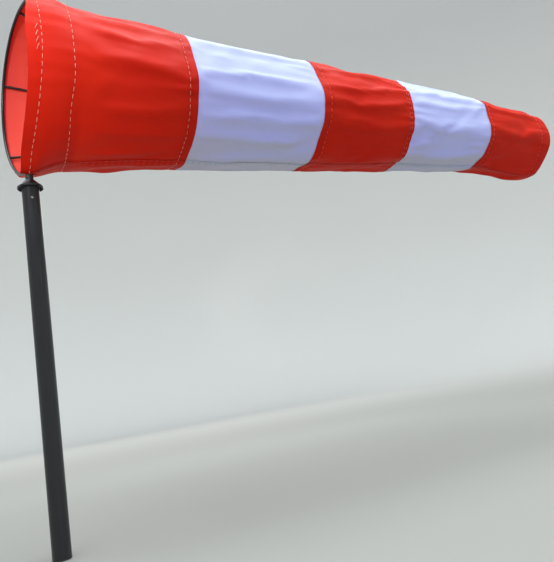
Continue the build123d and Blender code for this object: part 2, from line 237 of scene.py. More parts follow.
def thread(name, colour, worn):
    """Twisted polyester sewing thread."""
    material, tree, shader = new_material(name, Sheen_Weight=0.3, Roughness=0.55)
    twist = ribs(tree, "DIAGONAL", 2.2)
    wear = noise(tree, object_place(tree), 40.0, 3)
    mixed = mix_colour(tree, ramp(tree, wear, 0.4, 0.7), colour, worn)
    colouring = mix_colour(tree, maths(tree, "MULTIPLY", twist, 0.3), mixed, worn)
    link(tree, shader, colouring, None, bump(tree, twist, 0.6, 0.0004))
    return material


def paint(name, colour, rub, gloss, dust):
    """Near-black satin powder coat: fine orange peel, a few rubbed specks, faint rain streaks and dust."""
    material, tree, shader = new_material(name, Coat_Weight=0.10, Coat_Roughness=0.3)
    shader.inputs["Specular IOR Level"].default_value = 0.4
    place = object_place(tree)
    peel = noise(tree, place, 900.0, 2)
    mottle = noise(tree, place, 9.0, 3)
    streaks = noise(tree, stretched(tree, place, (160, 160, 5)), 1.0, 3)
    scuffs = noise(tree, place, 60.0, 6, 0.6)
    rubbed = ramp(tree, scuffs, 0.68, 0.78, 0.0, 0.12)
    base = mix_colour(tree, ramp(tree, mottle, 0.35, 0.7), colour, [c * 1.25 for c in colour])
    base = mix_colour(tree, ramp(tree, streaks, 0.55, 0.85, 0.0, 0.16), base, dust)
    base = mix_colour(tree, rubbed, base, rub)
    link(tree, shader, base, ramp(tree, mottle, 0.3, 0.75, gloss, gloss + 0.08), bump(tree, peel, 0.10, 0.0003))
    return material


def metal(name, colour, dark, rough, grain, groove):
    """Bare metal with tool marks: grain scales the noise along X, Y and Z, groove is the depth of the marks."""
    material, tree, shader = new_material(name, Metallic=1.0)
    place = object_place(tree)
    marks = noise(tree, stretched(tree, place, grain), 1.0, 6, 0.65)
    stains = noise(tree, place, 55.0, 5)
    colouring = mix_colour(tree, ramp(tree, stains, 0.45, 0.75, 0.0, 0.5), colour, dark)
    link(tree, shader, colouring, ramp(tree, marks, 0.3, 0.7, rough, rough + 0.18), bump(tree, marks, 0.4, groove))
    return material


def moulded(name, colour, lighter, rough, grain_scale, sheen):
    """Moulded plastic or rubber with a fine spark-eroded grain."""
    material, tree, shader = new_material(name, Sheen_Weight=sheen)
    place = object_place(tree)
    grain = noise(tree, place, grain_scale, 2)
    cloud = noise(tree, place, 30.0, 5)
    colouring = mix_colour(tree, ramp(tree, cloud, 0.4, 0.7, 0.0, 0.7), colour, lighter)
    link(tree, shader, colouring, ramp(tree, cloud, 0.3, 0.7, rough, rough + 0.15), bump(tree, grain, 0.3, 0.0003))
    return material


def webbing(name, colour, worn):
    """Woven tape with a herringbone rib."""
    material, tree, shader = new_material(name, Sheen_Weight=0.25, Roughness=0.75)
    rib = ribs(tree, "DIAGONAL", 120.0)
    cross = ribs(tree, "Y", 260.0)
    wear = noise(tree, object_place(tree), 60.0, 4)
    base = mix_colour(tree, ramp(tree, wear, 0.4, 0.7, 0.0, 0.8), colour, worn)
    both = maths(tree, "ADD", maths(tree, "MULTIPLY", cross, 0.5), rib)
    colouring = mix_colour(tree, maths(tree, "MULTIPLY", rib, 0.4), base, worn)
    link(tree, shader, colouring, None, bump(tree, both, 0.5, 0.0004))
    return material


RED = {"colour": (0.60, 0.012, 0.001), "faded": (0.65, 0.019, 0.002), "through": (0.72, 0.030, 0.003)}
# The white nylon's colours carry a painted blue cast that stands in for cool sky light on it.
WHITE_SKY_TINTED = {"colour": (0.60, 0.64, 0.77), "faded": (0.64, 0.67, 0.78), "through": (0.52, 0.50, 0.56)}
# The inside colours are a brighter copy of the red nylon: painted light for the glow inside the sock, seen through the
# mouth.
INSIDE_PAINTED_GLOW = {"colour": (0.93, 0.11, 0.070), "faded": (0.95, 0.12, 0.080), "through": (1.0, 0.14, 0.09)}
RED_DIRT = (0.33, 0.010, 0.006)
WHITE_DIRT = (0.40, 0.38, 0.38)
materials = {
    "red_fabric": fabric("red_nylon", share=0.17, dirt=RED_DIRT, **RED),
    "white_fabric": fabric("white_nylon", share=0.28, dirt=WHITE_DIRT, **WHITE_SKY_TINTED),
    "tie_webbing": webbing("tie_webbing", (0.02, 0.02, 0.022), (0.07, 0.068, 0.065)),
    "mast_paint": paint("mast_paint", (0.011, 0.011, 0.013), (0.16, 0.16, 0.17), 0.34, (0.06, 0.058, 0.055)),
    "frame_paint": paint("frame_paint", (0.009, 0.009, 0.010), (0.14, 0.14, 0.15), 0.30, (0.05, 0.048, 0.045)),
    "spindle_steel": metal("spindle_steel", (0.10, 0.10, 0.11), (0.03, 0.03, 0.035), 0.30, (90, 90, 1500), 0.0003),
    "fastener_steel": metal("fastener_steel", (0.42, 0.42, 0.43), (0.2, 0.19, 0.18), 0.28, (700, 700, 700), 0.0002),
    "bearing_steel": metal("bearing_steel", (0.75, 0.76, 0.78), (0.5, 0.5, 0.5), 0.08, (60, 60, 2500), 0.00005),
    "housing_alloy": metal("housing_alloy", (0.68, 0.69, 0.71), (0.4, 0.4, 0.41), 0.24, (40, 40, 3000), 0.0002),
    "spacer_alloy": metal("spacer_alloy", (0.66, 0.67, 0.70), (0.42, 0.42, 0.43), 0.22, (40, 40, 2600), 0.0002),
    "cage_plastic": moulded("cage_plastic", (0.10, 0.085, 0.06), (0.16, 0.14, 0.10), 0.42, 1500.0, 0.0),
    "seal_rubber": moulded("seal_rubber", (0.02, 0.02, 0.02), (0.045, 0.045, 0.045), 0.62, 1200.0, 0.15),
    "black_plastic": moulded("black_plastic", (0.015, 0.015, 0.016), (0.04, 0.04, 0.04), 0.45, 1400.0, 0.0),
}
# The hems' inner layers take this brighter copy of the same red cloth as a painted glow.
lining_painted_glow = fabric("red_nylon_lining_painted_glow", share=0.35, dirt=RED_DIRT, **INSIDE_PAINTED_GLOW)
pale_thread = thread("pale_thread", (0.90, 0.34, 0.25), (0.78, 0.20, 0.14))
red_thread = thread("red_thread", (0.95, 0.13, 0.06), (0.80, 0.07, 0.035))
deep_thread = thread("deep_thread", (0.56, 0.016, 0.006), (0.44, 0.012, 0.005))
white_thread = thread("white_thread", (0.80, 0.82, 0.88), (0.66, 0.66, 0.70))

for row in frame["record"]["subparts"]:
    finish_slots = nodes[row["node"]].data.materials
    finish_slots.clear()
    finish_slots.append(materials[row["material_slot"]])


# ------ shape of the fabric
SLEEVE_GAP = 0.0036  # from the ring's rod to the cloth over it
CONE_R = 0.2200
CONE_SLOPE = 0.0733
TAPER_SLOPE = 0.0394
TAIL_SLOPE = 0.0604
TAIL_BEND_X = 4 * BAND
NEAR_SHIFT = 0.0085  # the sock's axis first moves this far to the near side,
NEAR_SHIFT_RUN = 0.35
FAR_DRIFT = 0.012  # and then this far, for each metre of length, to the far side
FAR_DRIFT_FROM = 0.45
SAG = 0.008  # of the axis over the first band
TAIL_SAG = 0.0066
TAIL_SAG_FROM = 1.5
TAIL_SAG_RUN = 0.5
SLEEVE_FLAT = 0.004  # behind the ring, where the cloth still has the ring's size
SLEEVE_RUN = 0.085  # over which the cloth comes in from the ring to the cone
REAR_ROOM = 0.016  # the cloth stands off this much further over the rear ring on the far side
REAR_ROOM_AHEAD = 0.02  # most of it a little in front of the rear ring
REAR_ROOM_RUN = 0.16
LIP_DROP = 0.017  # the mouth's edge hangs a little in front of the neck
LIP_SIDE = radians(174)
LIP_TURN = radians(16)
LIP_RUN = 0.05
RIM_DENT = 0.007  # the rim is a little flat on its upper near side
RIM_DENT_SIDE = radians(60)
RIM_DENT_TURN = radians(55)
RIM_DENT_RUN = 0.10
BELLY_DEPTH = 0.040  # the tail hangs fuller on its underside
BELLY_X = 1.925
BELLY_RISE = 0.27
BELLY_FALL = 0.21
BELLY_SIDE = radians(190)
BELLY_NARROW = 1.3
BELLY_REACH = 1.2
NEAR_EDGE_X = -0.005
TOP_EDGE_BACK = 0.010
TOP_EDGE_ANGLES = (55, 85)
EDGE_LEAN = 0.017  # the near edge leans this far forward low down
EDGE_LEAN_ANGLES = (100, 165)
NEAR_EDGE_FROM = (15, 60)  # degrees over which the edge leaves the ring near the top,
NEAR_EDGE_TO = (174, 200)  # and comes back to it at the underside
FAR_EDGE_BACK = 0.001
LAP_SIDE = radians(174)
LAP_WIDTH = 0.022
LAYER = 0.0008  # between two layers of cloth


def ease(t):
    """0 up to 0 and 1 from 1 on, with a smooth step between."""
    t = np.clip(t, 0, 1)
    return t * t * (3 - 2 * t)


def hump(t):
    """1 at 0, falling smoothly to 0 at 1 on both sides."""
    return np.clip(1 - t * t, 0, 1) ** 2


def cone_radius(x):
    """Radius of the streaming sock: a throat, a long even taper and a quicker one in the last band."""
    past_throat = np.maximum(0, x - BAND)
    past_bend = np.maximum(0, x - TAIL_BEND_X)
    return CONE_R - CONE_SLOPE * x + (CONE_SLOPE - TAPER_SLOPE) * past_throat - (TAIL_SLOPE - TAPER_SLOPE) * past_bend


def axis_place(x):
    """Y and Z of the sock's own axis, which sags a little and drifts to the far side."""
    y = -NEAR_SHIFT * ease(x / NEAR_SHIFT_RUN) + FAR_DRIFT * np.maximum(0, x - FAR_DRIFT_FROM)
    z = SOCK_AXIS_Z - SAG * ease(x / BAND) - TAIL_SAG * ease((x - TAIL_SAG_FROM) / TAIL_SAG_RUN)
    return y, z


def ring_x(side):
    """Where the ring's plane stands in a direction from the sock's axis."""
    return RING_CENTRE.x + RING_HALF_WIDTH * np.sin(side) * RING_TURN


def between(side, start, end):
    """0 up to one angle from the top, in degrees, rising to 1 at another."""
    return ease((np.asarray(side) % (2 * pi) - radians(start)) / radians(end - start))


def edge_x(side):
    """Where the mouth's edge lies: in front of the ring on the near side, on it over the top and the far side."""
    on_ring = ring_x(side) + FAR_EDGE_BACK
    back = TOP_EDGE_BACK * (1 - between(side, *TOP_EDGE_ANGLES))
    lean = EDGE_LEAN * between(side, *EDGE_LEAN_ANGLES)
    near_share = between(side, *NEAR_EDGE_FROM) * (1 - between(side, *NEAR_EDGE_TO))
    return on_ring + near_share * np.minimum(NEAR_EDGE_X + back - lean - on_ring, 0)


def over_ring(x, side):
    """Distance from the sock's axis to a sleeve that lies on the ring."""
    y, z = axis_place(x)
    across = (np.cos(side) / RING_OUTER_R) ** 2 + (np.sin(side) / RING_HALF_WIDTH) ** 2
    moved = (RING_CENTRE.z - z) * np.cos(side) - (RING_CENTRE.y - y) * np.sin(side)
    return 1 / np.sqrt(across) + moved + SLEEVE_GAP


def fabric_radius(x, side):
    """Distance from the sock's axis to the cloth, before any wrinkle."""
    cone = cone_radius(x)
    on_ring = 1 - ease((x - ring_x(side) - SLEEVE_FLAT) / SLEEVE_RUN)
    radius = cone + on_ring * np.maximum(0, over_ring(x, side) - cone)
    far = np.maximum(0, -np.sin(side)) ** 4
    radius = radius + REAR_ROOM * far * hump((x - REAR_RING_X + REAR_ROOM_AHEAD) / REAR_ROOM_RUN)
    turn = side % (2 * pi)
    lip = hump((turn - LIP_SIDE) / LIP_TURN) * (1 - ease(x / LIP_RUN))
    radius = radius + LIP_DROP * lip
    dent = hump((turn - RIM_DENT_SIDE) / RIM_DENT_TURN) * ease((x - SOCK_END + RIM_DENT_RUN) / RIM_DENT_RUN)
    radius = radius - RIM_DENT * dent
    run = np.where(x < BELLY_X, BELLY_RISE, BELLY_FALL)
    from_belly = np.clip(turn - BELLY_SIDE, -BELLY_REACH, BELLY_REACH)
    under = np.maximum(0, np.cos(BELLY_NARROW * from_belly)) ** 3
    return radius + BELLY_DEPTH * hump((x - BELLY_X) / run) * under


SEAM_X = [0.415, 0.831, 1.213, 1.612]
SEAM_ROWS = ((0, -0.024), (1, 0.026), (2, -0.010), (2, -0.018), (3, 0.018))  # a seam, how far past it a row lies
SEAM_STITCH = tuple(SEAM_X[seam] + past for seam, past in SEAM_ROWS)
TAIL_HEM = 0.055
STITCH_DIP = 0.0012
STITCH_DIP_WIDTH = 0.007
MOUTH_ROW_X = 0.028
MOUTH_ROW_LEAN = 0.030
MOUTH_ROW_LEAN_FROM = (85, 180)
MOUTH_ROW_LEAN_TO = (190, 300)
MOUTH_ROW_FAR = 0.004
MOUTH_ROW_FAR_ANGLES = (270, 340)
SLEEVE_ROW_X = 0.098
SLEEVE_ROW_LEAN = 0.012
SLEEVE_ROW_LEAN_FROM = (105, 135)
SLEEVE_ROW_LEAN_TO = (175, 260)


def mouth_stitch_x(side):
    """The row behind the ring, which leans forward with the edge low down."""
    lean = MOUTH_ROW_LEAN * between(side, *MOUTH_ROW_LEAN_FROM) * (1 - between(side, *MOUTH_ROW_LEAN_TO))
    return MOUTH_ROW_X - lean + MOUTH_ROW_FAR * between(side, *MOUTH_ROW_FAR_ANGLES)


def sleeve_stitch_x(side):
    """The row that closes the sleeve."""
    lean = between(side, *SLEEVE_ROW_LEAN_FROM) * (1 - between(side, *SLEEVE_ROW_LEAN_TO))
    return SLEEVE_ROW_X - SLEEVE_ROW_LEAN * lean


def stitch_lines(side):
    """Where the rows round the sock lie at an angle."""
    return [mouth_stitch_x(side), sleeve_stitch_x(side), *SEAM_STITCH, SOCK_END - TAIL_HEM]


def waves(x, side, pitches):
    """A smooth uneven field of slanted waves, each with its radians for a metre and its count round the sock."""
    total = 0.0
    for k, (along, around) in enumerate(pitches):
        total = total + np.sin(x * along + around * side + 1.7 * k * k + 0.6 * np.sin(3 * side + k + 2.3 * x))
    return total / len(pitches)


PUCKERS = ((3.0, 23), (-7.0, 31), (11.0, 41))
FOLDS = ((15.0, 4), (24.0, 6), (31.0, 7), (-12.0, 5), (21.0, 9))
CRUMPLES = ((38.0, 7), (52.0, 9), (-44.0, 8), (64.0, 13), (47.0, 6))
FOLD_DEPTH = 0.0040
CRUMPLE_DEPTH = 0.0034
PUCKER_DEPTH = 0.0008
PUCKER_RUN = 0.05  # from a line of stitches
WRITTEN_SHARE = 0.8  # of the folds and crumples that is kept beside the simulated ones
SIMULATED_SHARE = 0.8
HOLD_X = 0.09  # the end of the tight sleeve
HOLD_RUN = 0.10  # over which wrinkles grow behind it
SLEEVE_SHARE = 0.08  # of the wrinkles that shows on the sleeve
RIM_CALM = 0.6  # share of the wrinkles that the tail's hem takes away
RIM_CALM_RUN = 0.10
PATCH_STRETCH = 1.3  # the patches of crumples are a stretched and shifted copy of the folds
PATCH_SHIFT = 4
PATCH_CONTRAST = 0.9
simulated = None


def wrinkles(x, side):
    """Long soft folds, patches of finer slanted crumples, and what the simulated cloth adds."""
    patch = ease(0.5 + PATCH_CONTRAST * waves(x * PATCH_STRETCH + PATCH_SHIFT, side, FOLDS))
    depth = FOLD_DEPTH * waves(x, side, FOLDS) + CRUMPLE_DEPTH * patch * waves(x, side, CRUMPLES)
    if simulated is not None:
        depth = WRITTEN_SHARE * depth + SIMULATED_SHARE * sampled(simulated, x, side)
    return depth


def relief(x, side):
    """Wrinkles, puckers beside the seams and the dip under each line of stitches."""
    free = SLEEVE_SHARE + (1 - SLEEVE_SHARE) * ease((x - HOLD_X) / HOLD_RUN)
    rim = 1 - RIM_CALM * ease((x - SOCK_END + RIM_CALM_RUN) / RIM_CALM_RUN)
    depth = wrinkles(x, side) * free * rim
    for line in stitch_lines(side):
        apart = x - line
        depth = depth - STITCH_DIP * np.exp(-((apart / STITCH_DIP_WIDTH) ** 2))
        depth = depth + PUCKER_DEPTH * waves(x, side, PUCKERS) * np.exp(-((apart / PUCKER_RUN) ** 2))
    return depth


def placed(x, side, radius):
    """Points at a length down the sock, an angle about its axis and a distance from it."""
    y, z = axis_place(x)
    return np.stack([x, y - radius * np.sin(side), z + radius * np.cos(side)], -1)


def surface(x, side, lift=0.0):
    """Points of the cloth at a length down the sock and an angle about its axis."""
    x, side = np.broadcast_arrays(np.asarray(x, float), np.asarray(side, float))
    return placed(x, side, fabric_radius(x, side) + relief(x, side) + lift)


# ------ wrinkles from a cloth simulation
SIM_START = 0.06
SIM_ROWS = 125
SIM_COLUMNS = 96
SIM_FRAMES = 36
SIM_EXCESS = 0.006  # extra cloth round the sock, as a share
SIM_EXCESS_LONG = 0.020  # and along it
SIM_TWIST = 0.13  # radians that the cloth of a band is turned from one seam to the next
SIM_UNEVEN = (0.005, 0.003)  # depth of the long and the fine waves that it starts with
SIM_CAP = 0.0075  # the most that a wrinkle stands out
SIM_RING_SHARE = 0.7  # of the mean swelling at one length that is taken off again
SIM_GRAVITY = 0.12
SIM_SETTINGS = {
    "quality": 6,
    "mass": 0.15,
    "air_damping": 2.0,
    "tension_stiffness": 25,
    "compression_stiffness": 20,
    "shear_stiffness": 8,
    "bending_stiffness": 1.4,
    "use_pressure": True,
    "uniform_pressure_force": 3.5,
}


def sim_grid():
    """Length and angle at every point of the simulated cloth."""
    x = np.linspace(SIM_START, SOCK_END, SIM_ROWS)[:, None]
    side = np.linspace(0, 2 * pi, SIM_COLUMNS, endpoint=False)[None, :]
    return np.broadcast_arrays(x, side)


def rest_points(x, side):
    """The same cloth laid out a little wider and longer, each band turned a little between its seams."""
    seams = np.array([SIM_START, *SEAM_X, SOCK_END])
    number = np.clip(np.searchsorted(seams, x, side="right") - 1, 0, len(seams) - 2)
    turn = SIM_TWIST * ((x - seams[number]) / (seams[number + 1] - seams[number]))
    points = placed(x, side + turn, fabric_radius(x, side) * (1 + SIM_EXCESS)).reshape(-1, 3)
    points[:, 0] *= 1 + SIM_EXCESS_LONG
    return points


def start_points(x, side):
    """Where the cloth starts: on the smooth shape, with a slight unevenness for the wrinkles to grow from."""
    long_waves, fine_waves = SIM_UNEVEN
    radius = fabric_radius(x, side) + long_waves * waves(x, side, FOLDS) + fine_waves * waves(x, side, CRUMPLES)
    return placed(x, side, radius).reshape(-1, 3)


def run_cloth(start, rest, held):
    """Let a cloth settle in the wind's pressure and its own weight, and give back its points."""
    mesh = bpy.data.meshes.new("sim")
    faces = grid_faces(SIM_ROWS, SIM_COLUMNS, closed=True)
    mesh.from_pydata([tuple(p) for p in start], [], [tuple(f) for f in faces])
    piece = bpy.data.objects.new("sim", mesh)
    scene = bpy.context.scene
    scene.collection.objects.link(piece)
    piece.shape_key_add(name="start")
    piece.shape_key_add(name="rest").data.foreach_set("co", rest.astype(np.float32).ravel())
    group = piece.vertex_groups.new(name="held")
    group.add(held, 1.0, "REPLACE")
    cloth = piece.modifiers.new("cloth", "CLOTH")
    settings = cloth.settings
    settings.vertex_group_mass = "held"
    settings.rest_shape_key = piece.data.shape_keys.key_blocks["rest"]
    for name, value in SIM_SETTINGS.items():
        setattr(settings, name, value)
    settings.effector_weights.gravity = SIM_GRAVITY
    cloth.collision_settings.use_collision = False
    cloth.point_cache.frame_start = 1
    cloth.point_cache.frame_end = SIM_FRAMES
    for number in range(1, SIM_FRAMES + 1):
        scene.frame_set(number)
    settled = piece.evaluated_get(bpy.context.evaluated_depsgraph_get()).to_mesh()
    points = np.zeros(len(settled.vertices) * 3, np.float32)
    settled.vertices.foreach_get("co", points)
    bpy.data.objects.remove(piece, do_unlink=True)
    bpy.data.meshes.remove(mesh)
    scene.frame_set(1)
    return points.reshape(-1, 3).astype(float)


def simulate():
    """How far the settled cloth stands out from the smooth shape, on a grid of length by angle."""
    x, side = sim_grid()
    held_rows = sorted([0, SIM_ROWS - 1, *(int(np.abs(x[:, 0] - seam).argmin()) for seam in SEAM_X)])
    held = [row * SIM_COLUMNS + column for row in held_rows for column in range(SIM_COLUMNS)]
    points = run_cloth(start_points(x, side), rest_points(x, side), held)
    y, z = axis_place(points[:, 0])
    radius = np.hypot(points[:, 1] - y, points[:, 2] - z).reshape(x.shape)
    out = radius - fabric_radius(x, side)
    out = out - SIM_RING_SHARE * out.mean(1, keepdims=True)
    return finer(SIM_CAP * np.tanh(out / SIM_CAP))


def finer(grid, times=2):
    """A grid halved in step, twice, with rounded rows and columns; the columns go right round."""
    for _ in range(times):
        wide = np.concatenate([grid[:, -2:], grid, grid[:, :2]], 1)
        between_columns = (-wide[:, 1:-3] + 9 * wide[:, 2:-2] + 9 * wide[:, 3:-1] - wide[:, 4:]) / 16
        grid = np.stack([grid, between_columns], 2).reshape(len(grid), -1)
        tall = np.concatenate([grid[:1], grid, grid[-1:]])
        between_rows = (-tall[:-3] + 9 * tall[1:-2] + 9 * tall[2:-1] - tall[3:]) / 16
        rows = np.zeros((2 * len(grid) - 1, grid.shape[1]))
        rows[::2] = grid
        rows[1::2] = between_rows
        grid = rows
    return grid


def sampled(grid, x, side):
    """Values of the grid at a length and an angle."""
    rows, columns = grid.shape
    i = np.clip((x - SIM_START) / (SOCK_END - SIM_START), 0, 1) * (rows - 1)
    j = (side % (2 * pi)) / (2 * pi) * columns
    i0 = np.minimum(i.astype(int), rows - 2)
    j0 = j.astype(int) % columns
    u, v = i - i0, j - np.floor(j)
    j1 = (j0 + 1) % columns
    low = grid[i0, j0] * (1 - v) + grid[i0, j1] * v
    high = grid[i0 + 1, j0] * (1 - v) + grid[i0 + 1, j1] * v
    return low * (1 - u) + high * u


# ------ mesh helpers
def add_mesh(name, points, faces, uv, material):
    """A smooth-shaded piece, with a UV for each point."""
    mesh = bpy.data.meshes.new(name)
    mesh.from_pydata([tuple(p) for p in points], [], [tuple(f) for f in faces])
    mesh.validate()
    layer = mesh.uv_layers.new(name="cloth")
    corners = np.zeros(len(mesh.loops), np.int32)
    mesh.loops.foreach_get("vertex_index", corners)
    layer.data.foreach_set("uv", np.asarray(uv, np.float32)[corners].ravel())
    mesh.materials.append(material)
    mesh.shade_smooth()
    mesh.update()
    piece = bpy.data.objects.new(name, mesh)
    bpy.context.scene.collection.objects.link(piece)
    return piece


def grid_faces(rows, columns, closed=False):
    """Quads of a grid of rows by columns, whose last column joins the first if it is closed."""
    i, j = np.meshgrid(np.arange(rows - 1), np.arange(columns if closed else columns - 1), indexing="ij")
    following = (j + 1) % columns
    return np.stack(
        [i * columns + j, (i + 1) * columns + j, (i + 1) * columns + following, i * columns + following], -1
    ).reshape(-1, 4)


def capped_faces(rows, columns):
    """Faces of a closed tube: the grid round it, and a cap at each end."""
    last = (rows - 1) * columns
    caps = [tuple(range(columns)), tuple(range(last + columns - 1, last - 1, -1))]
    return [tuple(f) for f in grid_faces(rows, columns, closed=True)] + caps


def joined(parts):
    """The points, faces and UVs of several meshes as one."""
    points, faces, uv, count = [], [], [], 0
    for part_points, part_faces, part_uv in parts:
        points.append(part_points)
        uv.append(part_uv)
        faces += [tuple(i + count for i in face) for face in part_faces]
        count += len(part_points)
    return np.concatenate(points), faces, np.concatenate(uv)


def add_sheet(name, points, material, flip=False):
    """A cloth sheet from a grid of points, with its own size in metres as its UV map."""
    rows, columns = points.shape[:2]
    along = np.cumsum(np.r_[0, np.linalg.norm(np.diff(points.mean(1), axis=0), axis=1)])
    around = np.concatenate(
        [np.zeros((rows, 1)), np.cumsum(np.linalg.norm(np.diff(points, axis=1), axis=2), axis=1)], axis=1
    )
    uv = np.stack([around, np.repeat(along[:, None], columns, 1)], -1).reshape(-1, 2)
    faces = grid_faces(rows, columns)
    if flip:
        faces = faces[:, ::-1]
    return add_mesh(name, points.reshape(-1, 3), faces, uv, material)


simulated = simulate()

# ------ the five bands and the hems
ROUND_COLUMNS = 300
SLOT_HALF = 0.012  # half the width of the slot that lets the spindle in at the underside
SLOT_END = 0.022
SLOT_FULL = 0.85 * SLOT_HALF  # from the slot's middle to where its side begins,
SLOT_SIDE = 0.5 * SLOT_HALF  # and the width of that soft side
SLOT_TOUCH = 0.01  # share of the slot that a stitch may reach
SLOT_REACH = 1.6  # half widths on each side of the slot with extra columns
SLOT_COLUMNS = 33
FOLD_R = LAYER
FOLD_STEPS = 6
FOLD_BACK = 0.004  # how far a turned edge goes back under the cloth
SINK_RUN = 0.004  # over which a white end goes down under the red cloth
SINK_DEPTH = 2.2 * LAYER
HEM_DEPTH = 2.4 * LAYER
HEM_INSET = 0.002  # a hem's inner layer stops this far short of the edge
TAIL_HEM_PAST = 0.006  # and goes this far past its row of stitches
MOUTH_HEM_END = 0.106
CLOTH_STEP = 0.006


def columns_of_side():
    """Angles round the sock from the lap seam, a full turn and the lap's width further, closer together at the slot."""
    lap_turn = LAP_WIDTH / CONE_R
    even = np.linspace(LAP_SIDE, LAP_SIDE + 2 * pi + lap_turn, ROUND_COLUMNS)
    slot_turn = SLOT_HALF / RING_OUTER_R
    steps = np.linspace(-SLOT_REACH, SLOT_REACH, SLOT_COLUMNS) * slot_turn
    near_slot = np.concatenate([pi + steps, 3 * pi + steps])
    inside = near_slot[(near_slot > even[0]) & (near_slot < even[-1])]
    return np.unique(np.round(np.concatenate([even, inside]), 6))


SIDES = columns_of_side()
LAP_SHIFT = LAYER * (0.5 - (SIDES - SIDES[0]) / (SIDES[-1] - SIDES[0])) * 2


def slot_share(side):
    """1 inside the spindle's slot at the underside, 0 away from it."""
    apart = np.abs(side % (2 * pi) - pi) * RING_OUTER_R
    return 1 - ease((apart - SLOT_FULL) / SLOT_SIDE)


def front_line(side):
    """The mouth's edge, with the slot cut into it."""
    edge = edge_x(side)
    return edge + slot_share(side) * (SLOT_END - edge)


def cloth_points(start, end, inwards=0.0):
    """Grid of cloth between two lines round the sock, a given depth inside the outer layer."""
    start, end = np.broadcast_to(start, SIDES.shape), np.broadcast_to(end, SIDES.shape)
    count = max(2, int(round(float(np.max(end - start)) / CLOTH_STEP)) + 1)
    x = start + np.linspace(0, 1, count)[:, None] * (end - start)
    return surface(x, SIDES[None, :], LAP_SHIFT[None, :] - inwards)


def rolled_edge(points, forward):
    """Rows that turn a band's end inwards round a small fold, and a short way back under it."""
    x = (points[0] if forward else points[-1])[:, 0]
    way = 1 if forward else -1
    rows = []
    for turn in np.linspace(0, pi, FOLD_STEPS + 1)[1:]:
        rows.append(surface(x - sin(turn) * FOLD_R * way, SIDES, LAP_SHIFT - FOLD_R * (1 - cos(turn))))
    rows.append(surface(x + FOLD_BACK * way, SIDES, LAP_SHIFT - 2 * FOLD_R))
    rows = np.array(rows)
    return np.concatenate([rows[::-1], points]) if forward else np.concatenate([points, rows])


OVERLAP = 0.030  # of a white band's end under its red neighbour
FIRST_CUT_X = NEAR_EDGE_X - 0.02
CUT_STARTS = [FIRST_CUT_X, SEAM_X[0] - OVERLAP, SEAM_X[1], SEAM_X[2] - OVERLAP, SEAM_X[3]]
CUT_ENDS = [SEAM_X[0], SEAM_X[1] + OVERLAP, SEAM_X[2], SEAM_X[3] + OVERLAP, SOCK_END]


def add_bands():
    """The five colour bands; each red one is sewn over its white neighbours."""
    starts = [front_line(SIDES), *CUT_STARTS[1:]]
    made = []
    for number, (start, end) in enumerate(zip(starts, CUT_ENDS), start=1):
        colour = "red" if number % 2 else "white"
        points = cloth_points(start, end)
        if colour == "white":
            points = sunk_ends(points, number)
        if number in (1, 5):
            points = rolled_edge(points, forward=number == 1)
        made.append(add_sheet(f"sock_band_{number}_{colour}", points, materials[f"{colour}_fabric"]))
    return made


def sunk_ends(points, number):
    """A white band's two ends go under the red cloth."""
    x = points[..., 0]
    into_front = ease((SEAM_X[number - 2] + SINK_RUN - x) / SINK_RUN)
    into_back = ease((x - SEAM_X[number - 1] + SINK_RUN) / SINK_RUN)
    moved = points.copy()
    drop = (into_front + into_back) * SINK_DEPTH
    moved[..., 1] += drop * np.sin(SIDES)
    moved[..., 2] -= drop * np.cos(SIDES)
    return moved


bands = add_bands()


def hem_sheet(name, start, end, material):
    """The cloth turned in behind an edge, as one inner layer."""
    return add_sheet(name, cloth_points(start, end, HEM_DEPTH), material, flip=True)


mouth_hem = hem_sheet("mouth_hem", front_line(SIDES) + HEM_INSET, MOUTH_HEM_END, lining_painted_glow)
tail_hem = hem_sheet("tail_hem_fold", SOCK_END - TAIL_HEM - TAIL_HEM_PAST, SOCK_END - HEM_INSET, lining_painted_glow)


# ------ stitches
STITCH_PITCH = 0.0172
STITCH_SHARE = 0.58  # of the pitch that is thread on top
STITCH_RISE = 2.2  # in thread radii, from the needle holes to the stitch's middle
STITCH_SUNK = 1.3
THREAD_R = 0.0007
THREAD_THIN = 0.75  # share of its radius that a thread has at the needle holes
THREAD_SWELL = 0.35  # and what it gains between them
ODD_DIRECTION = (0.31, 0.52, 0.79)  # no tube runs this way


def tube(path, radius, sides=8):
    """Points and faces of a closed tube along a path of points."""
    path = np.asarray(path, float)
    along = np.gradient(path, axis=0)
    along /= np.linalg.norm(along, axis=1)[:, None]
    other = np.cross(along, ODD_DIRECTION)
    other /= np.linalg.norm(other, axis=1)[:, None]
    third = np.cross(along, other)
    turn = np.linspace(0, 2 * pi, sides, endpoint=False)
    size = np.broadcast_to(np.asarray(radius, float), len(path))[:, None, None]
    outward = np.cos(turn)[None, :, None] * other[:, None] + np.sin(turn)[None, :, None] * third[:, None]
    points = (path[:, None] + size * outward).reshape(-1, 3)
    u, v = np.meshgrid(np.linspace(0, 1, sides, endpoint=False), np.arange(len(path)) * 0.7)
    return points, capped_faces(len(path), sides), np.stack([u, v], -1).reshape(-1, 2)


def one_stitch(x0, side0, x1, side1):
    """A raised stitch between two needle holes."""
    share = np.linspace(0, 1, 7)
    lift = THREAD_R * (STITCH_RISE * np.sin(pi * share) ** 0.6 - STITCH_SUNK) + LAYER
    path = surface(x0 + share * (x1 - x0), side0 + share * (side1 - side0), lift)
    return tube(path, THREAD_R * (THREAD_THIN + THREAD_SWELL * np.sin(pi * share)))


def add_stitches(name, spans, material):
    """One piece of many stitches, each from a length and angle to another."""
    return add_mesh(name, *joined(one_stitch(*span) for span in spans), material)


